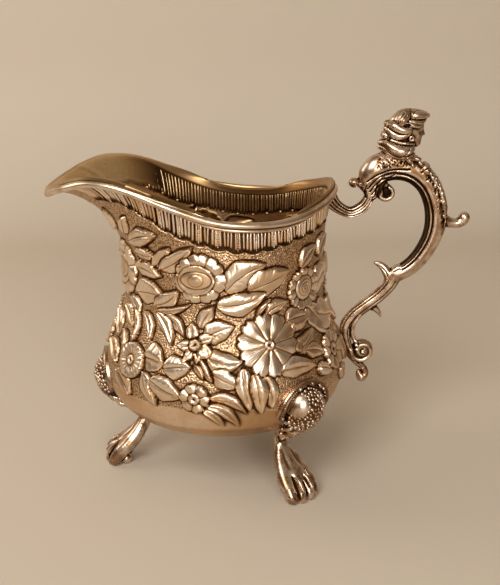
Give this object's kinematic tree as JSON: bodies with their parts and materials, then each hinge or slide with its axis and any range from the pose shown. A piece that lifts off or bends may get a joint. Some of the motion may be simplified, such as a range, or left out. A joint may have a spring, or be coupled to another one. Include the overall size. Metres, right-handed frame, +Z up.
{
  "type": "cream jug",
  "caption": "Footed cream jug: pear-shaped bowl chased with flowers, drawn-out spout, moulded rim wire, cast scroll handle with a bust thumb-piece, and paw feet under cartouche knees.",
  "frame": {"origin": "the point on the table under the axis of the bowl", "axes": "+X towards the handle, -X towards the spout, +Z up; the jug stands on Z = 0"},
  "size_m": [0.1335, 0.0775, 0.1168],
  "materials": {
    "raised_silver": "polished, with dark oxidation in the chased ground",
    "drawn_silver": "polished",
    "cast_silver": "polished, with dark oxidation in the recesses"
  },
  "bodies": {
    "root": {"body": "raised_silver", "rim_wire": "drawn_silver", "handle_upper_scroll": "cast_silver", "handle_lower_scroll": "cast_silver", "bust_thumbpiece": "cast_silver", "knee_front": "cast_silver", "knee_left": "cast_silver", "knee_right": "cast_silver", "foot_front": "cast_silver", "foot_left": "cast_silver", "foot_right": "cast_silver"}
  },
  "joints": []
}
